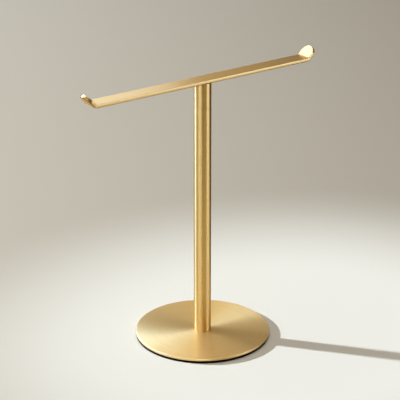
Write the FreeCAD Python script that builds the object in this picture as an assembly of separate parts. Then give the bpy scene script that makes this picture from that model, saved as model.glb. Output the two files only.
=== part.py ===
import FreeCAD, Part
import math
import os

from FreeCAD import Vector

# Freestanding towel stand: a flat bar with upturned ends on a round post, on a turned disc.
# The origin is the middle of the pad's underside, on the surface that the stand rests on.
# +Z is up and the bar runs along X. Everything is in millimetres.

# --- driving sizes -------------------------------------------------------------------------

# base disc, turned from plate
base_radius = 75.0
base_thickness = 2.5
base_top_round = 0.9
base_under_chamfer = 0.4

# anti-slip pad glued under the disc
pad_thickness = 3.0
pad_inset = 0.5
key_opening_clearance = 4.0

# post, a round tube with its two ends faced square and their outer corners broken
post_radius = 9.5
post_wall = 1.2
post_length = 290.5
post_end_chamfer = 0.4

# towel bar, bent from flat strip that is as wide as the post
bar_thickness = 4.0
bar_span = 275.0
bend_angle = 48.0
bend_inner_radius = 2.0
tip_straight = 4.0
bar_edge_round = 0.7

# stud welded under the bar, and the threaded plug that takes it in the top of the post
stud_radius = 4.0
stud_length = 13.0
stud_flange_radius = 5.2
stud_flange_thickness = 1.0
stud_end_chamfer = 0.8
top_insert_length = 16.0

# countersunk screw from below, and the threaded plug that takes it in the foot of the post
screw_radius = 3.0
screw_length = 16.0
screw_end_chamfer = 0.6
screw_socket_width = 4.0
screw_socket_depth = 2.0
bottom_insert_length = 16.0

# fits
insert_clearance = 0.05
thread_clearance = 0.1
screw_hole_clearance = 0.2
flange_clearance = 0.2
countersink_land = 0.3
insert_chamfer = 0.6

# --- heights and radii that follow from them ----------------------------------------------

disc_under_z = pad_thickness
disc_top_z = disc_under_z + base_thickness
bar_under_z = disc_top_z + post_length
bar_top_z = bar_under_z + bar_thickness

bar_width = 2 * post_radius
post_bore_radius = post_radius - post_wall
insert_radius = post_bore_radius - insert_clearance
screw_hole_radius = screw_radius + screw_hole_clearance
countersink_radius = screw_hole_radius + base_thickness - countersink_land
key_opening_radius = countersink_radius + key_opening_clearance


# --- ways of making ------------------------------------------------------------------------


def turned(outline):
    """Solid of revolution about Z from a closed outline of (radius, height) corners."""
    corners = [Vector(radius, 0, height) for radius, height in outline]
    wire = Part.makePolygon(corners + corners[:1])
    return Part.Face(wire).revolve(Vector(0, 0, 0), Vector(0, 0, 1), 360)


def rounded_ring(solid, radius, height, rounding):
    """Round the circular edge of one radius at one height."""
    rings = []
    for edge in solid.Edges:
        curve = edge.Curve
        if not isinstance(curve, Part.Circle):
            continue
        if abs(curve.Radius - radius) < 1e-6 and abs(curve.Center.z - height) < 1e-6:
            rings.append(edge)
    return solid.makeFillet(rounding, rings)


def hex_prism(width_across_flats, height):
    """Six-sided prism along Z, standing on z = 0."""
    corner_radius = width_across_flats / math.sqrt(3)
    corners = []
    for step in range(7):
        angle = math.radians(60 * step)
        corners.append(Vector(corner_radius * math.cos(angle), corner_radius * math.sin(angle), 0))
    return Part.Face(Part.makePolygon(corners)).extrude(Vector(0, 0, height))


def corner_edges(solid):
    """Edges where two faces meet at a corner, leaving out the lines where they meet smoothly."""
    found = []
    for edge in solid.Edges:
        middle = edge.valueAt((edge.FirstParameter + edge.LastParameter) / 2)
        normals = []
        for face in solid.ancestorsOfType(edge, Part.Face):
            u, v = face.Surface.parameter(middle)
            normals.append(face.normalAt(u, v))
        if normals[0].getAngle(normals[1]) > math.radians(20):
            found.append(edge)
    return found


# --- towel bar -----------------------------------------------------------------------------


def bent_point(distance, offset):
    """Point of the right-hand bend's end, at an offset above the bar's underside, and then
    a distance out along the upturned tip."""
    angle = math.radians(bend_angle)
    radius = bend_inner_radius + bar_thickness - offset
    x = bar_span / 2 + radius * math.sin(angle) + distance * math.cos(angle)
    z = bar_top_z + bend_inner_radius - radius * math.cos(angle) + distance * math.sin(angle)
    return Vector(x, 0, z)


def bend_arc(offset):
    """Arc of the right-hand bend at an offset above the bar's underside."""
    half = math.radians(bend_angle / 2)
    radius = bend_inner_radius + bar_thickness - offset
    start = Vector(bar_span / 2, 0, bar_under_z + offset)
    middle = Vector(
        bar_span / 2 + radius * math.sin(half),
        0,
        bar_top_z + bend_inner_radius - radius * math.cos(half),
    )
    return Part.Arc(start, middle, bent_point(0, offset)).toShape()


def make_towel_bar():
    """Strip profile drawn from the side, drawn out to the bar's width, its two tips trimmed to
    half rounds square to the bent ends, and every edge rounded over."""
    tip_reach = tip_straight + bar_width / 2
    under = Part.LineSegment(Vector(0, 0, bar_under_z), Vector(bar_span / 2, 0, bar_under_z))
    over = Part.LineSegment(Vector(bar_span / 2, 0, bar_top_z), Vector(0, 0, bar_top_z))
    outer = Part.LineSegment(bent_point(0, 0), bent_point(tip_reach, 0))
    end = Part.LineSegment(bent_point(tip_reach, 0), bent_point(tip_reach, bar_thickness))
    inner = Part.LineSegment(bent_point(tip_reach, bar_thickness), bent_point(0, bar_thickness))
    middle = Part.LineSegment(Vector(0, 0, bar_top_z), Vector(0, 0, bar_under_z))
    edges = [
        under.toShape(),
        bend_arc(0),
        outer.toShape(),
        end.toShape(),
        inner.toShape(),
        bend_arc(bar_thickness),
        over.toShape(),
        middle.toShape(),
    ]
    profile = Part.Face(Part.Wire(Part.__sortEdges__(edges)))
    profile.translate(Vector(0, -bar_width / 2, 0))
    right = profile.extrude(Vector(0, bar_width, 0))

    blank = Part.makeBox(bar_width, 2 * bar_width, 3 * bar_thickness)
    blank.translate(Vector(0, -bar_width, -bar_thickness))
    half_round = Part.makeCylinder(bar_width / 2, 5 * bar_thickness)
    half_round.translate(Vector(0, 0, -2 * bar_thickness))
    trim = blank.cut(half_round)
    tilt = FreeCAD.Rotation(Vector(0, 1, 0), -bend_angle)
    trim.Placement = FreeCAD.Placement(bent_point(tip_straight, 0), tilt)
    right = right.cut(trim)

    left = right.mirror(Vector(0, 0, 0), Vector(1, 0, 0))
    bar = right.fuse(left).removeSplitter()
    solid = bar.Solids[0]
    return solid.makeFillet(min(bar_edge_round, 0.45 * bar_thickness), corner_edges(solid))


# --- stud and threaded plugs ---------------------------------------------------------------


def make_bar_stud():
    """Weld stud hanging from the bar's underside: a thin flange and a plain shank."""
    end_z = bar_under_z - stud_length
    flange_z = bar_under_z - stud_flange_thickness
    return turned(
        [
            (0, bar_under_z),
            (stud_flange_radius, bar_under_z),
            (stud_flange_radius, flange_z),
            (stud_radius, flange_z),
            (stud_radius, end_z + stud_end_chamfer),
            (stud_radius - stud_end_chamfer, end_z),
            (0, end_z),
        ]
    )


def make_top_insert():
    """Threaded plug, flush with the top of the tube, with a seat for the stud's flange."""
    bore = stud_radius + thread_clearance
    seat_radius = stud_flange_radius + flange_clearance
    seat_z = bar_under_z - stud_flange_thickness - flange_clearance
    end_z = bar_under_z - top_insert_length
    return turned(
        [
            (seat_radius, bar_under_z),
            (insert_radius, bar_under_z),
            (insert_radius, end_z + insert_chamfer),
            (insert_radius - insert_chamfer, end_z),
            (bore, end_z),
            (bore, seat_z),
            (seat_radius, seat_z),
        ]
    )


def make_bottom_insert():
    """Threaded plug, flush with the foot of the tube, standing on the disc."""
    bore = screw_radius + thread_clearance
    end_z = disc_top_z + bottom_insert_length
    return turned(
        [
            (bore, disc_top_z),
            (insert_radius, disc_top_z),
            (insert_radius, end_z - insert_chamfer),
            (insert_radius - insert_chamfer, end_z),
            (bore, end_z),
        ]
    )


# --- post ----------------------------------------------------------------------------------


def make_post_tube():
    """Round tube standing on the disc, with the outer corner of each end broken."""
    return turned(
        [
            (post_bore_radius, disc_top_z),
            (post_radius - post_end_chamfer, disc_top_z),
            (post_radius, disc_top_z + post_end_chamfer),
            (post_radius, bar_under_z - post_end_chamfer),
            (post_radius - post_end_chamfer, bar_under_z),
            (post_bore_radius, bar_under_z),
        ]
    )


# --- base ----------------------------------------------------------------------------------


def make_base_disc():
    """Disc with a countersunk hole in the middle, its rim rounded above and chamfered below."""
    disc = turned(
        [
            (screw_hole_radius, disc_top_z),
            (base_radius, disc_top_z),
            (base_radius, disc_under_z + base_under_chamfer),
            (base_radius - base_under_chamfer, disc_under_z),
            (countersink_radius, disc_under_z),
            (screw_hole_radius, disc_top_z - countersink_land),
        ]
    )
    return rounded_ring(disc, base_radius, disc_top_z, base_top_round)


def make_base_screw():
    """Countersunk screw, its cone seated in the disc's and its shank up in the plug."""
    cone_height = countersink_radius - screw_radius
    tip_z = disc_under_z + screw_length
    screw = turned(
        [
            (0, disc_under_z),
            (countersink_radius, disc_under_z),
            (screw_radius, disc_under_z + cone_height),
            (screw_radius, tip_z - screw_end_chamfer),
            (screw_radius - screw_end_chamfer, tip_z),
            (0, tip_z),
        ]
    )
    socket = hex_prism(screw_socket_width, screw_socket_depth)
    socket.translate(Vector(0, 0, disc_under_z))
    return screw.cut(socket)


def make_anti_slip_pad():
    """Flat ring under the disc, with the opening through which the screw is turned."""
    pad_radius = base_radius - pad_inset
    return turned(
        [
            (key_opening_radius, disc_under_z),
            (pad_radius, disc_under_z),
            (pad_radius, 0),
            (key_opening_radius, 0),
        ]
    )


# --- write one file for each piece ---------------------------------------------------------

os.makedirs("parts", exist_ok=True)

pieces = {
    "towel_bar": make_towel_bar(),
    "bar_stud": make_bar_stud(),
    "top_insert": make_top_insert(),
    "post_tube": make_post_tube(),
    "bottom_insert": make_bottom_insert(),
    "base_disc": make_base_disc(),
    "base_screw": make_base_screw(),
    "anti_slip_pad": make_anti_slip_pad(),
}

for name, shape in pieces.items():
    shape.exportStep("parts/" + name + ".step")
    box = shape.BoundBox
    print(name, "solids", len(shape.Solids), "valid", shape.isValid(), "volume", round(shape.Volume, 1))
    print("  size", round(box.XLength, 2), round(box.YLength, 2), round(box.ZLength, 2))
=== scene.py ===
import math

import bmesh
import bpy
import numpy as np
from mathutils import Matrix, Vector


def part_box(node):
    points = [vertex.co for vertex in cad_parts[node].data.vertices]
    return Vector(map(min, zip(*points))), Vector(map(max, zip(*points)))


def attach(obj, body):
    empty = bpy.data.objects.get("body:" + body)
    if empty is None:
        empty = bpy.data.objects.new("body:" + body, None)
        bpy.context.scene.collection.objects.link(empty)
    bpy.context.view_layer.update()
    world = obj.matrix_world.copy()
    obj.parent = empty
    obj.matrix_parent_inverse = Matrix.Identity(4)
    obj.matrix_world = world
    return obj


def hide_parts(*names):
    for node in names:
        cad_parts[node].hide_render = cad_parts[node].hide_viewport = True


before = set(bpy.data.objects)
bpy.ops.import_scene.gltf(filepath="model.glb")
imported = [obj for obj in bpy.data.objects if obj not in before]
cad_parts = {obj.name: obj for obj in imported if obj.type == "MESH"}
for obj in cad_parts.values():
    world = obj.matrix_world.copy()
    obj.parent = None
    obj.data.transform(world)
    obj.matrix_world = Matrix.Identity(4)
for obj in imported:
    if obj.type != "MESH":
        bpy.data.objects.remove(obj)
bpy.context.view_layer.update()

# ---------------------------------------------------------------------------------------------
# Camera. It stands in front of the bar's left end and looks a little down, through a long lens,
# so that the far end of the bar is nearly as large as the near one.
# ---------------------------------------------------------------------------------------------
view_azimuth = math.radians(-36.13)
view_elevation = math.radians(21.86)
view_distance = 1.7174
look_at = Vector((-0.00215, 0.00157, 0.1613))

towards_camera = Vector((
    math.sin(view_azimuth) * math.cos(view_elevation),
    -math.cos(view_azimuth) * math.cos(view_elevation),
    math.sin(view_elevation),
))
camera = bpy.data.objects.new("camera", bpy.data.cameras.new("camera"))
camera.data.sensor_width = 36.0
camera.data.lens = 141.65
camera.data.clip_start = 0.05
camera.data.clip_end = 50.0
camera.location = look_at + view_distance * towards_camera
camera.rotation_euler = (-towards_camera).to_track_quat("-Z", "Y").to_euler()
bpy.context.scene.collection.objects.link(camera)
bpy.context.scene.camera = camera
bpy.context.scene.view_settings.view_transform = "Standard"


# ---------------------------------------------------------------------------------------------
# Floor. One large pale matt sheet, not part of the object. It has a painted pool of light, nearly
# white, round the stand, and outside it painted shade: a warm grey darkening from left to right.
# ---------------------------------------------------------------------------------------------
def new_piece(name, points, faces, smooth=True):
    """Mesh object from an array of points, one row each, and a list of point-number faces."""
    mesh = bpy.data.meshes.new(name)
    mesh.from_pydata(points.tolist(), [], faces)
    mesh.polygons.foreach_set("use_smooth", np.full(len(mesh.polygons), smooth))
    mesh.update()
    piece = bpy.data.objects.new(name, mesh)
    bpy.context.scene.collection.objects.link(piece)
    return piece


def new_material(name):
    """Empty node material, its node list, and a short way of joining two sockets."""
    material = bpy.data.materials.new(name)
    material.use_nodes = True
    return material, material.node_tree.nodes, material.node_tree.links.new


floor_reach = 12.0
pale = (0.905, 0.90, 0.865, 1)
grey_at_left = (0.645, 0.61, 0.54, 1)
grey_at_right = (0.325, 0.28, 0.23, 1)
grey_start = -0.60
grey_width = 1.2
pool_right = 0.09
pool_turn = 0.57
pool_radii = (0.82, 0.73, 1.0)
floor_points = floor_reach * np.array([[-1, -1, 0], [1, -1, 0], [1, 1, 0], [-1, 1, 0]], float)
floor = new_piece("floor", floor_points, [(0, 1, 2, 3)], smooth=False)
paper, nodes, join = new_material("floor_paper_painted_light")
shader = nodes["Principled BSDF"]
shader.inputs["Roughness"].default_value = 0.85
shader.inputs["Specular IOR Level"].default_value = 0.0
# Painted shade: a warm grey outside the pool of light, darker towards the right.
where = nodes.new("ShaderNodeTexCoord")
slant = nodes.new("ShaderNodeMapping")
slant.vector_type = "TEXTURE"
slant.inputs["Location"].default_value = (grey_start, 0.0, 0.0)
slant.inputs["Rotation"].default_value = (0.0, 0.0, view_azimuth)
slant.inputs["Scale"].default_value = (grey_width, grey_width, grey_width)
sideways = nodes.new("ShaderNodeTexGradient")
painted_shade_grey = nodes.new("ShaderNodeValToRGB")
painted_shade_grey.color_ramp.elements[0].position = 0.0
painted_shade_grey.color_ramp.elements[0].color = grey_at_left
painted_shade_grey.color_ramp.elements[1].position = 1.0
painted_shade_grey.color_ramp.elements[1].color = grey_at_right
# Painted pool of light: nearly white round the stand, fading out at its soft edge.
turn = nodes.new("ShaderNodeMapping")
turn.vector_type = "TEXTURE"
turn.inputs["Location"].default_value = (
    pool_right * math.cos(view_azimuth),
    pool_right * math.sin(view_azimuth),
    0.0,
)
turn.inputs["Rotation"].default_value = (0.0, 0.0, view_azimuth + pool_turn)
turn.inputs["Scale"].default_value = pool_radii
painted_light_pool = nodes.new("ShaderNodeTexGradient")
painted_light_pool.gradient_type = "SPHERICAL"
painted_light_pool_edge = nodes.new("ShaderNodeMapRange")
painted_light_pool_edge.interpolation_type = "SMOOTHSTEP"
painted_light_pool_edge.inputs["From Min"].default_value = 0.40
painted_light_pool_edge.inputs["From Max"].default_value = 0.79
lit = nodes.new("ShaderNodeMix")
lit.data_type = "RGBA"
lit.inputs["B"].default_value = pale
join(where.outputs["Object"], slant.inputs["Vector"])
join(slant.outputs["Vector"], sideways.inputs["Vector"])
join(sideways.outputs["Fac"], painted_shade_grey.inputs["Fac"])
join(where.outputs["Object"], turn.inputs["Vector"])
join(turn.outputs["Vector"], painted_light_pool.inputs["Vector"])
join(painted_light_pool.outputs["Fac"], painted_light_pool_edge.inputs["Value"])
join(painted_light_pool_edge.outputs["Result"], lit.inputs["Factor"])
join(painted_shade_grey.outputs["Color"], lit.inputs["A"])
join(lit.outputs["Result"], shader.inputs["Base Color"])
floor.data.materials.append(paper)


# ---------------------------------------------------------------------------------------------
# Light. A low hard key from the left, split into a lamp for the floor and one for the metal, and a
# soft fill from above. The other soft boxes and the dark cards show only in the gloss of the metal.
# Places are given in the main view's directions, and stay where they are in other views.
# ---------------------------------------------------------------------------------------------
def studio_point(right, away, up):
    """Point given as metres to the right in the main view, away from its camera, and up."""
    return Vector((
        right * math.cos(view_azimuth) - away * math.sin(view_azimuth),
        right * math.sin(view_azimuth) + away * math.cos(view_azimuth),
        up,
    ))


def soft_box(name, place, aim, width, height, brightness, colour, falls_on=None):
    """Rectangular area light at a studio point, facing another. Its power is its brightness
    times its area times pi, so that two boxes of one brightness look alike in the metal. It
    lights every piece, or only those in the collection that it falls on."""
    light = bpy.data.lights.new(name, "AREA")
    light.shape = "RECTANGLE"
    light.size = width
    light.size_y = height
    light.energy = brightness * math.pi * width * height
    light.color = colour
    box = bpy.data.objects.new(name, light)
    box.location = place
    box.rotation_euler = (aim - place).to_track_quat("-Z", "Y").to_euler()
    box.visible_camera = False
    box.visible_diffuse = False
    box.light_linking.receiver_collection = falls_on
    bpy.context.scene.collection.objects.link(box)
    return box


def key_lamp(name, energy, colour):
    """Distant lamp low on the left, a little behind the stand."""
    light = bpy.data.lights.new(name, "SUN")
    light.energy = energy
    light.angle = key_spread
    light.color = colour
    lamp = bpy.data.objects.new(name, light)
    lamp.rotation_euler = key_from.to_track_quat("Z", "Y").to_euler()
    bpy.context.scene.collection.objects.link(lamp)
    return lamp


key_elevation = math.radians(21.0)
key_spread = math.radians(1.8)
key_from = studio_point(-0.962, 0.26, math.tan(key_elevation))
key_on_floor = key_lamp("key_on_floor", energy=4.45, colour=(1.0, 1.08, 1.13))
key_on_floor.visible_glossy = False
key_on_metal = key_lamp("key_on_metal", energy=0.8, colour=(1.0, 1.35, 2.60))
key_on_metal.visible_diffuse = False

day_blue = (1.0, 1.28, 2.10)
pale_blue = (1.0, 1.35, 2.20)
sky_blue = (1.0, 1.45, 3.30)
ice_blue = (1.0, 1.80, 4.40)
amber = (1.0, 0.85, 0.50)
warm = (1.0, 0.93, 0.80)
stand_foot = studio_point(0.0, 0.0, 0.0)
post_middle = studio_point(0.0, 0.0, 0.2)
bar_left = studio_point(-0.1, -0.08, 0.3)
tip_right = studio_point(0.13, 0.09, 0.32)
disc_left = studio_point(-0.042, -0.027, 0.005)

# Some of the boxes fall on these pieces alone. Each piece joins its group in its own section.
post_and_bar = bpy.data.collections.new("lit_for_post_and_bar")
disc_alone = bpy.data.collections.new("lit_for_disc_alone")

soft_box(
    "left_strip", studio_point(-1.27, -2.04, 0.40), post_middle,
    width=1.95, height=1.00, brightness=2.6, colour=day_blue,
)
soft_box(
    "left_window", studio_point(-0.776, 0.193, 0.45), post_middle,
    width=0.40, height=0.38, brightness=5.0, colour=ice_blue, falls_on=post_and_bar,
)
soft_box(
    "left_high", studio_point(-0.92, -0.08, 1.45), post_middle,
    width=0.60, height=0.50, brightness=1.9, colour=ice_blue,
)
soft_box(
    "right_strip", studio_point(1.20, -0.33, 0.40), post_middle,
    width=0.87, height=0.85, brightness=2.2, colour=day_blue,
)
soft_box(
    "back_box", studio_point(-0.19, 0.80, 0.80), bar_left,
    width=0.34, height=0.60, brightness=1.3, colour=pale_blue,
)
soft_box(
    "back_warm", studio_point(0.02, 0.80, 0.80), bar_left,
    width=0.20, height=0.60, brightness=0.3, colour=amber,
)
soft_box(
    "tip_box", studio_point(-1.97, 0.91, 1.64), tip_right,
    width=1.20, height=1.00, brightness=3.0, colour=sky_blue,
)
overhead = soft_box(
    "overhead", studio_point(-0.45, 0.10, 1.70), bar_left,
    width=1.20, height=1.20, brightness=1.0, colour=warm,
)
overhead.visible_diffuse = True
room_fill = soft_box(
    "room_fill", studio_point(0.0, 0.0, 2.6), stand_foot,
    width=3.00, height=3.00, brightness=0.29, colour=warm,
)
room_fill.visible_diffuse = True
soft_box(
    "disc_window", studio_point(-0.770, -0.21, 0.45), post_middle,
    width=0.36, height=0.38, brightness=4.8, colour=ice_blue, falls_on=disc_alone,
)
soft_box(
    "disc_glow", studio_point(-0.130, 0.072, 0.075), disc_left,
    width=0.09, height=0.08, brightness=2.7, colour=ice_blue, falls_on=disc_alone,
)
soft_box(
    "disc_streak", studio_point(-0.03, -1.50, 0.62), disc_left,
    width=0.36, height=0.50, brightness=8.0, colour=day_blue, falls_on=disc_alone,
)

felt, nodes, _ = new_material("black_felt")
shader = nodes["Principled BSDF"]
shader.inputs["Base Color"].default_value = (0.05, 0.025, 0.01, 1)
shader.inputs["Roughness"].default_value = 1.0
shader.inputs["Specular IOR Level"].default_value = 0.0


def dark_card(name, corners):
    """Black card that shows only in the metal, to draw the dark lines between the highlights."""
    card = new_piece(name, np.array(corners), [(0, 1, 2, 3)], smooth=False)
    card.data.materials.append(felt)
    card.visible_camera = False
    card.visible_diffuse = False
    card.visible_shadow = False


flag_height = 1.2
off_floor = 0.003
dark_card("right_flag", [
    studio_point(0.95, 0.25, 0.0),
    studio_point(0.30, 0.95, 0.0),
    studio_point(0.30, 0.95, flag_height),
    studio_point(0.95, 0.25, flag_height),
])
dark_card("side_flag", [
    studio_point(0.09, 0.05, off_floor),
    studio_point(0.90, 0.48, off_floor),
    studio_point(0.50, 0.98, off_floor),
    studio_point(0.06, 0.11, off_floor),
])
dark_card("front_flag", [
    studio_point(-0.30, -0.62, off_floor),
    studio_point(0.30, -0.62, off_floor),
    studio_point(0.60, -1.60, off_floor),
    studio_point(-0.60, -1.60, off_floor),
])

# The room is dim and warm, and brighter overhead and straight behind the stand.
world = bpy.data.worlds.new("room")
world.use_nodes = True
nodes = world.node_tree.nodes
join = world.node_tree.links.new
where = nodes.new("ShaderNodeTexCoord")
turn = nodes.new("ShaderNodeMapping")
turn.vector_type = "TEXTURE"
turn.inputs["Rotation"].default_value = (0.0, 0.0, view_azimuth)
part = nodes.new("ShaderNodeSeparateXYZ")
behind = nodes.new("ShaderNodeMapRange")
behind.interpolation_type = "SMOOTHSTEP"
behind.inputs["From Min"].default_value = 0.70
behind.inputs["From Max"].default_value = 0.95
behind.inputs["To Min"].default_value = 0.06
behind.inputs["To Max"].default_value = 0.28
above = nodes.new("ShaderNodeMapRange")
above.interpolation_type = "SMOOTHSTEP"
above.inputs["From Min"].default_value = 0.3
above.inputs["From Max"].default_value = 0.9
above.inputs["To Min"].default_value = 0.0
above.inputs["To Max"].default_value = 0.30
total = nodes.new("ShaderNodeMath")
join(where.outputs["Generated"], turn.inputs["Vector"])
join(turn.outputs["Vector"], part.inputs["Vector"])
join(part.outputs["Y"], behind.inputs["Value"])
join(part.outputs["Z"], above.inputs["Value"])
join(behind.outputs["Result"], total.inputs[0])
join(above.outputs["Result"], total.inputs[1])
join(total.outputs["Value"], nodes["Background"].inputs["Strength"])
nodes["Background"].inputs["Color"].default_value = (1.0, 0.90, 0.76, 1)
bpy.context.scene.world = world


# ---------------------------------------------------------------------------------------------
# Base disc. Steel plate, cut round, its face brushed in circles on a lathe and its rim rounded
# over, then plated in a soft brass colour. A countersunk hole in the middle takes the screw.
# ---------------------------------------------------------------------------------------------
def eased_outline(corners, eases, arc_steps=6):
    """Closed outline with each corner cut by a round of its own radius: a quadratic curve from
    one ease before the corner to one ease after it, bent towards the corner. A guard point half
    an ease further out on each side keeps the flats true. Gives back the points and, for each,
    how much the corner is worn and lit by a painted highlight: sin(pi t) along its round,
    nothing on the flats."""
    corners = np.asarray(corners, float)
    before = np.roll(corners, 1, axis=0) - corners
    after = np.roll(corners, -1, axis=0) - corners
    before /= np.linalg.norm(before, axis=1)[:, None]
    after /= np.linalg.norm(after, axis=1)[:, None]
    ease = np.asarray(eases, float)[:, None]
    start = (corners + before * ease)[:, None, :]
    end = (corners + after * ease)[:, None, :]
    t = np.linspace(0.0, 1.0, arc_steps + 1)[None, :, None]
    rounds = (1 - t) ** 2 * start + 2 * t * (1 - t) * corners[:, None, :] + t ** 2 * end
    guard_in = (corners + 1.5 * before * ease)[:, None, :]
    guard_out = (corners + 1.5 * after * ease)[:, None, :]
    points = np.concatenate([guard_in, rounds, guard_out], axis=1).reshape(-1, 2)
    wear_and_highlight = np.concatenate([[0.0], np.sin(math.pi * t.ravel()), [0.0]])
    return points, np.tile(wear_and_highlight, len(corners))


def turned_piece(name, radii, heights, sides, closed=True):
    """Surface of revolution: the outline (radii, heights) carried round Z. The point at outline
    step i and turn step j is (r_ij cos a_j, r_ij sin a_j, z_i). A closed outline joins its last
    step to its first; an open one starts and ends on the axis, where its points are merged.
    The outline runs outward along the top and back along the underside, so that every face
    looks out."""
    angle = np.linspace(0.0, 2.0 * math.pi, sides, endpoint=False)
    heights = np.asarray(heights, float)
    radii = np.asarray(radii, float)
    if radii.ndim == 1:
        radii = np.outer(radii, np.ones(sides))
    points = np.stack([
        radii * np.cos(angle),
        radii * np.sin(angle),
        np.outer(heights, np.ones(sides)),
    ], axis=-1).reshape(-1, 3)
    steps = np.arange(len(heights) if closed else len(heights) - 1)
    turn = np.arange(sides)
    here = (steps * sides)[:, None]
    there = ((steps + 1) % len(heights) * sides)[:, None]
    following = np.roll(turn, -1)[None, :]
    corners = [here + turn, there + turn, there + following, here + following]
    faces = np.stack(corners, -1).reshape(-1, 4)
    piece = new_piece(name, points, faces.tolist())
    if not closed:
        merge_points(piece)
    return piece


def merge_points(piece):
    """Joins points that lie in one place, so that poles and middle lines are closed."""
    shell = bmesh.new()
    shell.from_mesh(piece.data)
    bmesh.ops.remove_doubles(shell, verts=shell.verts, dist=1e-7)
    shell.to_mesh(piece.data)
    shell.free()
    piece.data.update()


def set_attribute(piece, name, kind, domain, values):
    """Named values on a mesh: one number or one vector for each point or face corner."""
    attribute = piece.data.attributes.new(name, kind, domain)
    field = "value" if kind == "FLOAT" else "vector"
    attribute.data.foreach_set(field, np.ascontiguousarray(values, dtype=np.float32).ravel())


scratches_per_metre = 1200.0


def brush_round(piece, outline, wear_and_highlight, sides, round_cells):
    """Lays the scratches of a piece brushed while it turned. Their place is (c cos a, c sin a,
    f s), where s is the way along the outline, so that the pattern is long round the piece and
    fine along its outline. The direction across them is the outline's own."""
    angle = np.linspace(0.0, 2.0 * math.pi, sides, endpoint=False)
    step = np.linalg.norm(np.diff(outline, axis=0), axis=1)
    way = np.concatenate([[0.0], np.cumsum(step)])
    ahead = np.roll(outline, -1, axis=0) - np.roll(outline, 1, axis=0)
    ahead /= np.linalg.norm(ahead, axis=1)[:, None]
    every = np.ones(sides)
    place = np.stack([
        np.outer(np.full(len(way), round_cells), np.cos(angle)),
        np.outer(np.full(len(way), round_cells), np.sin(angle)),
        np.outer(way * scratches_per_metre, every),
    ], axis=-1)
    across = np.stack([
        np.outer(ahead[:, 0], np.cos(angle)),
        np.outer(ahead[:, 0], np.sin(angle)),
        np.outer(ahead[:, 1], every),
    ], axis=-1)
    set_attribute(piece, "scratch_place", "FLOAT_VECTOR", "POINT", place)
    set_attribute(piece, "across", "FLOAT_VECTOR", "POINT", across)
    set_attribute(piece, "edge_wear_and_highlight", "FLOAT", "POINT", np.outer(wear_and_highlight, every))


gold_deep = (0.770, 0.488, 0.138, 1)
gold_pale = (0.830, 0.532, 0.166, 1)
# Lighter gold for the rounded edges: wear, and a painted highlight.
gold_worn_highlight = (0.885, 0.620, 0.260, 1)
# Painted shade: a dark brown laid on the bar's lower edges and the foot of its side.
gold_painted_shade = (0.400, 0.215, 0.060, 1)
roughness_spread = 0.03


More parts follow.
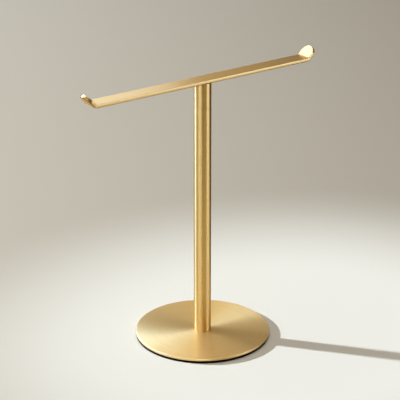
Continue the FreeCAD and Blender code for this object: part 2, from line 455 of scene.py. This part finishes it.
def brushed_brass(name, sheen, stretch, satin, satin_share, scratch_depth):
    """Plated brass with a brushed face, as two glosses laid over each other: a sheen drawn out
    across the scratches, and a wide satin from the fine tooth between them. The scratches vary
    the gold, both roughnesses and the bump, and slow clouds make it uneven. The piece's own
    values say where its edges are worn with a painted highlight and where they are darkened by
    painted shade."""
    material, nodes, join = new_material(name)
    where = nodes.new("ShaderNodeTexCoord")
    laid = nodes.new("ShaderNodeAttribute")
    laid.attribute_name = "scratch_place"
    scratches = nodes.new("ShaderNodeTexNoise")
    scratches.inputs["Scale"].default_value = 1.0
    scratches.inputs["Detail"].default_value = 4.0
    scratches.inputs["Roughness"].default_value = 0.6
    join(laid.outputs["Vector"], scratches.inputs["Vector"])
    clouds = nodes.new("ShaderNodeTexNoise")
    clouds.inputs["Scale"].default_value = 22.0
    clouds.inputs["Detail"].default_value = 3.0
    join(where.outputs["Object"], clouds.inputs["Vector"])
    gold = nodes.new("ShaderNodeValToRGB")
    gold.color_ramp.elements[0].position = 0.36
    gold.color_ramp.elements[0].color = gold_deep
    gold.color_ramp.elements[1].position = 0.64
    gold.color_ramp.elements[1].color = gold_pale
    join(scratches.outputs["Fac"], gold.inputs["Fac"])
    # Rounded edges: wear and a painted highlight, as lighter gold.
    edges = nodes.new("ShaderNodeAttribute")
    edges.attribute_name = "edge_wear_and_highlight"
    wear_highlight_mix = nodes.new("ShaderNodeMix")
    wear_highlight_mix.data_type = "RGBA"
    wear_highlight_mix.inputs["B"].default_value = gold_worn_highlight
    join(edges.outputs["Fac"], wear_highlight_mix.inputs["Factor"])
    join(gold.outputs["Color"], wear_highlight_mix.inputs["A"])
    # Under edges of the bar: painted shade, as dark brown.
    shaded = nodes.new("ShaderNodeAttribute")
    shaded.attribute_name = "edge_painted_shade"
    painted_shade_mix = nodes.new("ShaderNodeMix")
    painted_shade_mix.data_type = "RGBA"
    painted_shade_mix.inputs["B"].default_value = gold_painted_shade
    join(shaded.outputs["Fac"], painted_shade_mix.inputs["Factor"])
    join(wear_highlight_mix.outputs["Result"], painted_shade_mix.inputs["A"])
    uneven = nodes.new("ShaderNodeMix")
    uneven.inputs["Factor"].default_value = 0.5
    join(scratches.outputs["Fac"], uneven.inputs["A"])
    join(clouds.outputs["Fac"], uneven.inputs["B"])
    bump = nodes.new("ShaderNodeBump")
    bump.inputs["Strength"].default_value = 1.0
    bump.inputs["Distance"].default_value = scratch_depth
    join(scratches.outputs["Fac"], bump.inputs["Height"])
    narrow = nodes["Principled BSDF"]
    wide = nodes.new("ShaderNodeBsdfPrincipled")
    for gloss, roughness in ((narrow, sheen), (wide, satin)):
        rough = nodes.new("ShaderNodeMapRange")
        rough.inputs["From Min"].default_value = 0.35
        rough.inputs["From Max"].default_value = 0.65
        rough.inputs["To Min"].default_value = (1.0 - roughness_spread) * roughness
        rough.inputs["To Max"].default_value = (1.0 + roughness_spread) * roughness
        join(uneven.outputs["Result"], rough.inputs["Value"])
        join(rough.outputs["Result"], gloss.inputs["Roughness"])
        join(painted_shade_mix.outputs["Result"], gloss.inputs["Base Color"])
        join(bump.outputs["Normal"], gloss.inputs["Normal"])
        gloss.inputs["Metallic"].default_value = 1.0
    across = nodes.new("ShaderNodeAttribute")
    across.attribute_name = "across"
    join(across.outputs["Vector"], narrow.inputs["Tangent"])
    narrow.inputs["Anisotropic"].default_value = stretch
    both = nodes.new("ShaderNodeMixShader")
    both.inputs["Fac"].default_value = satin_share
    join(narrow.outputs["BSDF"], both.inputs[1])
    join(wide.outputs["BSDF"], both.inputs[2])
    join(both.outputs["Shader"], nodes["Material Output"].inputs["Surface"])
    return material


disc_low, disc_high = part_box("base_disc")
screw_low, screw_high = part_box("base_screw")
hole_radius = 0.0032
hole_land = 0.0003
disc_rounds = [0.00008, 0.0009, 0.0004, 0.0001, 0.00008]
disc_sides = 256
disc_outline, disc_wear_and_highlight = eased_outline(
    [
        (hole_radius, disc_high.z),
        (disc_high.x, disc_high.z),
        (disc_high.x, disc_low.z),
        (screw_high.x, disc_low.z),
        (hole_radius, disc_high.z - hole_land),
    ],
    disc_rounds,
)
disc = turned_piece("turned_base_disc", disc_outline[:, 0], disc_outline[:, 1], disc_sides)
brush_round(disc, disc_outline, disc_wear_and_highlight, disc_sides, round_cells=1.5)
disc.data.materials.append(brushed_brass(
    "disc_brass_circular_grain",
    sheen=0.47, stretch=0.80, satin=0.80, satin_share=0.30, scratch_depth=0.0000008,
))
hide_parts("base_disc")
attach(disc, "root")
disc_alone.objects.link(disc)


# ---------------------------------------------------------------------------------------------
# Anti-slip pad. A die-cut ring of black rubber, glued under the disc a little in from its rim.
# Its middle is open, so that the screw can be reached with a hex key.
# ---------------------------------------------------------------------------------------------
pad_low, pad_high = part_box("anti_slip_pad")
key_room = 0.004
key_opening = screw_high.x + key_room
pad_rounds = [0.0001, 0.0001, 0.0003, 0.0003]
pad_sides = 192
pad_outline, _ = eased_outline(
    [
        (key_opening, pad_high.z),
        (pad_high.x, pad_high.z),
        (pad_high.x, pad_low.z),
        (key_opening, pad_low.z),
    ],
    pad_rounds,
)
pad = turned_piece("rubber_pad", pad_outline[:, 0], pad_outline[:, 1], pad_sides)
rubber, nodes, join = new_material("black_rubber")
shader = nodes["Principled BSDF"]
shader.inputs["Specular IOR Level"].default_value = 0.05
where = nodes.new("ShaderNodeTexCoord")
grain = nodes.new("ShaderNodeTexNoise")
grain.inputs["Scale"].default_value = 1400.0
grain.inputs["Detail"].default_value = 3.0
dust = nodes.new("ShaderNodeTexNoise")
dust.inputs["Scale"].default_value = 60.0
dust.inputs["Detail"].default_value = 5.0
black = nodes.new("ShaderNodeValToRGB")
black.color_ramp.elements[0].position = 0.45
black.color_ramp.elements[0].color = (0.004, 0.0037, 0.003, 1)
black.color_ramp.elements[1].position = 0.75
black.color_ramp.elements[1].color = (0.014, 0.013, 0.011, 1)
matt = nodes.new("ShaderNodeMapRange")
matt.inputs["To Min"].default_value = 0.70
matt.inputs["To Max"].default_value = 0.95
tooth = nodes.new("ShaderNodeBump")
tooth.inputs["Strength"].default_value = 1.0
tooth.inputs["Distance"].default_value = 0.00004
join(where.outputs["Object"], grain.inputs["Vector"])
join(where.outputs["Object"], dust.inputs["Vector"])
join(dust.outputs["Fac"], black.inputs["Fac"])
join(black.outputs["Color"], shader.inputs["Base Color"])
join(grain.outputs["Fac"], matt.inputs["Value"])
join(matt.outputs["Result"], shader.inputs["Roughness"])
join(grain.outputs["Fac"], tooth.inputs["Height"])
join(tooth.outputs["Normal"], shader.inputs["Normal"])
pad.data.materials.append(rubber)
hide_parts("anti_slip_pad")
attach(pad, "root")


# ---------------------------------------------------------------------------------------------
# Post. Drawn round tube, brushed round its girth and plated like the disc. Its two ends are
# faced square and their outer corners are broken.
# ---------------------------------------------------------------------------------------------
post_low, post_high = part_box("post_tube")
post_bore = 0.0083
post_rounds = [0.0001, 0.0004, 0.0004, 0.0001]
post_sides = 192
post_outline, post_wear_and_highlight = eased_outline(
    [
        (post_bore, post_high.z),
        (post_high.x, post_high.z),
        (post_high.x, post_low.z),
        (post_bore, post_low.z),
    ],
    post_rounds,
)
post = turned_piece("drawn_post_tube", post_outline[:, 0], post_outline[:, 1], post_sides)
brush_round(post, post_outline, post_wear_and_highlight, post_sides, round_cells=0.7)
post.data.materials.append(brushed_brass(
    "post_brass_girth_grain",
    sheen=0.33, stretch=0.98, satin=0.60, satin_share=0.12, scratch_depth=0.0000003,
))
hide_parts("post_tube")
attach(post, "root")
post_and_bar.objects.link(post)


# ---------------------------------------------------------------------------------------------
# Towel bar. Flat strip, brushed along its length, its two ends cut to half rounds and bent up
# in a press, every edge rolled over, then plated. It lies straight on the end of the post.
# ---------------------------------------------------------------------------------------------
bar_low, bar_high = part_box("towel_bar")
bar_width = bar_high.y - bar_low.y
bar_thickness = 0.004
bar_span = 0.275
bend_angle = math.radians(48.0)
bend_inner_radius = 0.002
tip_straight = 0.004
over_round = 0.0007
under_round = 0.0015
# How much painted shade reaches up onto the bar's side from its lower round.
side_painted_shade = 0.4
bar_under = bar_low.z
streaks_per_metre = 12.0
straight_steps = 81
bend_steps = 11
tip_steps = 3
swing_steps = 37


def bent(along, height):
    """Bends the flat strip's coordinates up at both ends. Past half the span, a point goes round
    the bend's centre by (along - half span) / mid radius, up to the bend angle, and then runs on
    straight; height is measured above the strip's underside."""
    half = bar_span / 2
    mid_radius = bend_inner_radius + bar_thickness / 2
    out = np.abs(along)
    turn = np.clip((out - half) / mid_radius, 0.0, bend_angle)
    beyond = np.maximum(out - half - mid_radius * bend_angle, 0.0)
    radius = bend_inner_radius + bar_thickness - height
    x = np.minimum(out, half) + radius * np.sin(turn) + beyond * np.cos(turn)
    z = bar_under + bar_thickness + bend_inner_radius
    z = z - radius * np.cos(turn) + beyond * np.sin(turn)
    return np.sign(along) * x, z


def strip_section():
    """Half section of the strip, from the middle of the underside round one edge to the middle
    of the top. A round of radius e has the insets e - e sin q and the heights e - e cos q, where
    q is the quarter turn's angle. Gives the inset, the height, whether the point is on a flat
    face, the wear and painted highlight sin(2 q) of the upper round, and the painted shade
    sin(2 q) of the lower round, which reaches a little up the side."""
    half_width = bar_width / 2
    guard = 0.0002
    flat_steps = 4
    round_steps = 9
    quarter = np.linspace(0.0, math.pi / 2, round_steps)
    low_flat = np.linspace(half_width, under_round + guard, flat_steps)
    high_flat = np.linspace(over_round + guard, half_width, flat_steps)
    low_rise = under_round - under_round * np.cos(quarter)
    low_draw = under_round - under_round * np.sin(quarter)
    high_rise = (over_round - over_round * np.cos(quarter))[::-1]
    high_draw = (over_round - over_round * np.sin(quarter))[::-1]
    side_low = under_round + guard
    side_high = bar_thickness - over_round - guard
    inset = np.concatenate([low_flat, low_draw, [0.0, 0.0], high_draw, high_flat])
    plain_flat = np.zeros(flat_steps)
    plain_round = np.zeros(round_steps)
    height = np.concatenate([
        plain_flat,
        low_rise,
        [side_low, side_high],
        bar_thickness - high_rise,
        plain_flat + bar_thickness,
    ])
    on_flat = np.ones(flat_steps)
    flat = np.concatenate([on_flat, plain_round, [0.0, 0.0], plain_round, on_flat]) > 0
    bow = np.sin(2.0 * quarter)
    wear_and_highlight = np.concatenate([plain_flat, plain_round, [0.0, 0.0], bow, plain_flat])
    painted_under_shade = np.concatenate([plain_flat, bow, [side_painted_shade, 0.0], plain_round, plain_flat])
    return inset, height, flat, wear_and_highlight, painted_under_shade


def round_ended_strip(name):
    """Strip made by carrying the half section round a stadium outline and bending it by bent().
    A ring of the mesh is the stadium drawn in by the inset. Scratches lie along the strip: on
    the flats they are fine across it, and on the edges they are fine round the section."""
    inset, height, flat, wear_and_highlight, painted_under_shade = strip_section()
    bend_from = bar_span / 2
    bend_to = bend_from + (bend_inner_radius + bar_thickness / 2) * bend_angle
    tip_centre = bend_to + tip_straight
    bend_stations = np.linspace(bend_from, bend_to, bend_steps)
    tip_stations = np.linspace(bend_to, tip_centre, tip_steps)
    stations = np.unique(np.concatenate([
        np.linspace(-bend_from, bend_from, straight_steps),
        bend_stations,
        tip_stations,
        -bend_stations,
        -tip_stations,
    ]).round(9))
    swing = np.linspace(-math.pi / 2, math.pi / 2, swing_steps)[1:-1]
    still = np.zeros(len(stations))
    at_tip = np.full(len(swing), tip_centre)
    centre_x = np.concatenate([stations, at_tip, stations[::-1], -at_tip])
    out_x = np.concatenate([still, np.cos(swing), still, -np.cos(swing)])
    out_y = np.concatenate([still - 1.0, np.sin(swing), still + 1.0, -np.sin(swing)])
    reach = bar_width / 2 - inset
    along = centre_x[None, :] + reach[:, None] * out_x[None, :]
    sideways = reach[:, None] * out_y[None, :]
    x, z = bent(along, np.repeat(height[:, None], len(centre_x), axis=1))
    points = np.stack([x, sideways, z], -1)
    rings, around = along.shape
    row = np.arange(rings - 1)[:, None] * around
    column = np.arange(around)[None, :]
    following = np.roll(np.arange(around), -1)[None, :]
    corners = [row + column, row + following, row + around + following, row + around + column]
    faces = np.stack(corners, -1).reshape(-1, 4)
    piece = new_piece(name, points.reshape(-1, 3), faces.tolist())

    step = np.hypot(np.diff(inset), np.diff(height))
    way = np.concatenate([[0.0], np.cumsum(step)])
    fine = np.where(flat[:, None], sideways, way[:, None])
    level = np.zeros_like(along)
    place = np.stack([along * streaks_per_metre, fine * scratches_per_metre, level], -1)
    set_attribute(piece, "scratch_place", "FLOAT_VECTOR", "POINT", place)
    # Wear and a painted highlight on the upper rounds, painted shade on the lower rounds and side.
    set_attribute(piece, "edge_wear_and_highlight", "FLOAT", "POINT", np.outer(wear_and_highlight, np.ones(around)))
    set_attribute(piece, "edge_painted_shade", "FLOAT", "POINT", np.outer(painted_under_shade, np.ones(around)))
    ahead = np.gradient(points, axis=0)
    ahead /= np.linalg.norm(ahead, axis=-1)[..., None] + 1e-12
    across = np.where(flat[:, None, None], np.array([0.0, 1.0, 0.0]), ahead).reshape(-1, 3)
    at_corners = across[faces]
    agree = np.sign(np.sum(at_corners * at_corners[:, :1], axis=-1, keepdims=True) + 1e-9)
    set_attribute(piece, "across", "FLOAT_VECTOR", "CORNER", at_corners * agree)
    merge_points(piece)
    return piece


bar = round_ended_strip("bent_towel_bar")
bar.data.materials.append(brushed_brass(
    "bar_brass_long_grain",
    sheen=0.32, stretch=0.82, satin=0.60, satin_share=0.18, scratch_depth=0.0000005,
))
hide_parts("towel_bar")
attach(bar, "root")
post_and_bar.objects.link(bar)


# ---------------------------------------------------------------------------------------------
# Bar stud and the plug that takes it. A zinc-plated M8 weld stud hangs under the middle of the
# bar, and screws into a threaded steel plug pressed into the top of the tube.
# ---------------------------------------------------------------------------------------------
thread_height = 0.61
thread_flat = 0.1


def thread_depth(heights, sides, pitch):
    """How far a right-hand thread lies below its crest: a triangle wave of (z / pitch - a / full
    turn), cut flat at the crest and at the root and as deep as its share of the pitch says."""
    angle = np.linspace(0.0, 2.0 * math.pi, sides, endpoint=False)
    turn = (np.asarray(heights)[:, None] / pitch - angle[None, :] / (2.0 * math.pi)) % 1.0
    wave = np.abs(2.0 * turn - 1.0)
    flank = (wave - thread_flat) / (1.0 - 2.0 * thread_flat)
    return thread_height * pitch * np.clip(flank, 0.0, 1.0)


dull = 0.8


def zinc_plate(name, tint):
    """Bright zinc on turned steel: fine rings from the lathe in its bump, and clouds in its
    roughness and in its colour, which runs from dull to the whole tint."""
    material, nodes, join = new_material(name)
    shader = nodes["Principled BSDF"]
    shader.inputs["Metallic"].default_value = 1.0
    where = nodes.new("ShaderNodeTexCoord")
    clouds = nodes.new("ShaderNodeTexNoise")
    clouds.inputs["Scale"].default_value = 350.0
    clouds.inputs["Detail"].default_value = 4.0
    stretched = nodes.new("ShaderNodeMapping")
    stretched.inputs["Scale"].default_value = (200.0, 200.0, 6000.0)
    rings = nodes.new("ShaderNodeTexNoise")
    rings.inputs["Scale"].default_value = 1.0
    rings.inputs["Detail"].default_value = 2.0
    shade = nodes.new("ShaderNodeValToRGB")
    shade.color_ramp.elements[0].position = 0.3
    shade.color_ramp.elements[0].color = (*(dull * np.array(tint)), 1)
    shade.color_ramp.elements[1].position = 0.7
    shade.color_ramp.elements[1].color = (*tint, 1)
    rough = nodes.new("ShaderNodeMapRange")
    rough.inputs["To Min"].default_value = 0.22
    rough.inputs["To Max"].default_value = 0.48
    bump = nodes.new("ShaderNodeBump")
    bump.inputs["Strength"].default_value = 1.0
    bump.inputs["Distance"].default_value = 0.000006
    join(where.outputs["Object"], clouds.inputs["Vector"])
    join(where.outputs["Object"], stretched.inputs["Vector"])
    join(stretched.outputs["Vector"], rings.inputs["Vector"])
    join(clouds.outputs["Fac"], shade.inputs["Fac"])
    join(shade.outputs["Color"], shader.inputs["Base Color"])
    join(clouds.outputs["Fac"], rough.inputs["Value"])
    join(rough.outputs["Result"], shader.inputs["Roughness"])
    join(rings.outputs["Fac"], bump.inputs["Height"])
    join(bump.outputs["Normal"], shader.inputs["Normal"])
    return material


fastener_zinc = zinc_plate("fastener_zinc", (0.62, 0.62, 0.64))
plug_zinc = zinc_plate("plug_zinc", (0.58, 0.57, 0.56))
thread_sides = 48
thread_gap = 0.0001
stud_pitch = 0.00125
stud_crest = 0.004
flange_radius = 0.0052
flange_thickness = 0.001
seat_gap = 0.0002
stud_chamfer = 0.0008
stud_fillet = 0.0003
plug_chamfer = 0.0006
plug_crisp_from = math.radians(35.0)
fastener_crisp_from = math.radians(22.0)


def thread_rows(start, end, pitch):
    """Heights from one end of a thread to the other, ten to each pitch."""
    return np.linspace(start, end, int(round(10.0 * abs(end - start) / pitch)) + 1)


def whole_rows(radii):
    """The same radius all the way round, for each radius of an outline."""
    return np.outer(radii, np.ones(thread_sides))


def threaded_plug(node, crest, pitch, chamfer_up):
    """Plug whose bore is the screw's thread, moved out by a small gap. The thread runs out at
    both mouths, and the end that goes into the tube first is chamfered outside. Gives the
    bore's heights, its radii and the corners of the outside."""
    low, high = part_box(node)
    rows = thread_rows(low.z, high.z, pitch)
    runout = np.clip(np.minimum(rows - low.z, high.z - rows) / pitch, 0.0, 1.0)[:, None]
    bore = crest + thread_gap - thread_depth(rows, thread_sides, pitch) * runout
    top_cut, foot_cut = (plug_chamfer, 0.0) if chamfer_up else (0.0, plug_chamfer)
    outside = np.array([
        (high.x - top_cut, high.z),
        (high.x, high.z - top_cut),
        (high.x, low.z + foot_cut),
        (high.x - foot_cut, low.z),
    ])
    return rows, bore, outside


def close_plug(name, rows, bore, outside, node):
    """Joins a plug's outside and bore into one turned mesh with crisp corners."""
    radii = np.concatenate([whole_rows(outside[:, 0]), bore])
    heights = np.concatenate([outside[:, 1], rows])
    plug = turned_piece(name, radii, heights, thread_sides)
    merge_points(plug)
    plug.data.set_sharp_from_angle(angle=plug_crisp_from)
    plug.data.materials.append(plug_zinc)
    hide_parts(node)
    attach(plug, "root")


def set_fastener(piece, node):
    """Finish and place of a stud or a screw."""
    piece.data.set_sharp_from_angle(angle=fastener_crisp_from)
    piece.data.materials.append(fastener_zinc)
    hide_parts(node)
    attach(piece, "root")


stud_low, stud_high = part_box("bar_stud")
neck = stud_high.z - flange_thickness
rows = thread_rows(neck - stud_fillet, stud_low.z, stud_pitch)
runout = np.clip((neck - stud_fillet - rows) / stud_pitch, 0.0, 1.0)[:, None]
shank = stud_crest - thread_depth(rows, thread_sides, stud_pitch) * runout
shank = np.minimum(shank, (stud_crest - stud_chamfer + rows - stud_low.z)[:, None])
stud = turned_piece(
    "threaded_weld_stud",
    np.concatenate([
        whole_rows([0.0, flange_radius, flange_radius, stud_crest + stud_fillet]),
        shank,
        whole_rows([0.0]),
    ]),
    np.concatenate([[stud_high.z, stud_high.z, neck, neck], rows, [stud_low.z]]),
    thread_sides,
    closed=False,
)
set_fastener(stud, "bar_stud")

rows, bore, outside = threaded_plug("top_insert", stud_crest, stud_pitch, chamfer_up=False)
seat = (rows > neck - seat_gap)[:, None]
bore = np.where(seat, flange_radius + seat_gap, bore)
close_plug("threaded_top_plug", rows, bore, outside, "top_insert")


# ---------------------------------------------------------------------------------------------
# Base screw and the plug that takes it. A zinc-plated M6 countersunk screw with a hex socket
# comes up through the disc into a threaded steel plug pressed into the foot of the tube.
# ---------------------------------------------------------------------------------------------
screw_pitch = 0.001
screw_crest = 0.003
socket_width = 0.004
socket_depth = 0.002
socket_mouth = 0.0026
socket_chamfer = 0.0003
drill_point = 1.2
head_edge = 0.0001
tip_chamfer = 0.0006


def hex_radius(width):
    """Radius of a hexagon at each turn step: (width / 2) / cos of the angle from the nearest
    flat's middle."""
    angle = np.linspace(0.0, 2.0 * math.pi, thread_sides, endpoint=False)
    sixth = math.pi / 3
    from_middle = (angle + sixth / 2) % sixth - sixth / 2
    return (width / 2 / np.cos(from_middle))[None, :]


cone_top = screw_low.z + screw_high.x - screw_crest
rows = thread_rows(screw_high.z, cone_top, screw_pitch)
runout = np.clip((rows - cone_top) / screw_pitch, 0.0, 1.0)[:, None]
shank = screw_crest - thread_depth(rows, thread_sides, screw_pitch) * runout
shank = np.minimum(shank, (screw_crest - tip_chamfer + screw_high.z - rows)[:, None])
head_radii = [screw_high.x, screw_high.x - head_edge, socket_mouth + head_edge, socket_mouth]
socket_heights = [socket_chamfer, socket_depth, drill_point * socket_depth]
screw = turned_piece(
    "countersunk_socket_screw",
    np.concatenate([
        whole_rows([0.0]),
        shank,
        whole_rows(head_radii),
        hex_radius(socket_width),
        hex_radius(socket_width),
        whole_rows([0.0]),
    ]),
    np.concatenate([
        [screw_high.z],
        rows,
        screw_low.z + np.array([head_edge, 0.0, 0.0, 0.0, *socket_heights]),
    ]),
    thread_sides,
    closed=False,
)
set_fastener(screw, "base_screw")

rows, bore, outside = threaded_plug("bottom_insert", screw_crest, screw_pitch, chamfer_up=True)
close_plug("threaded_foot_plug", rows, bore, outside, "bottom_insert")
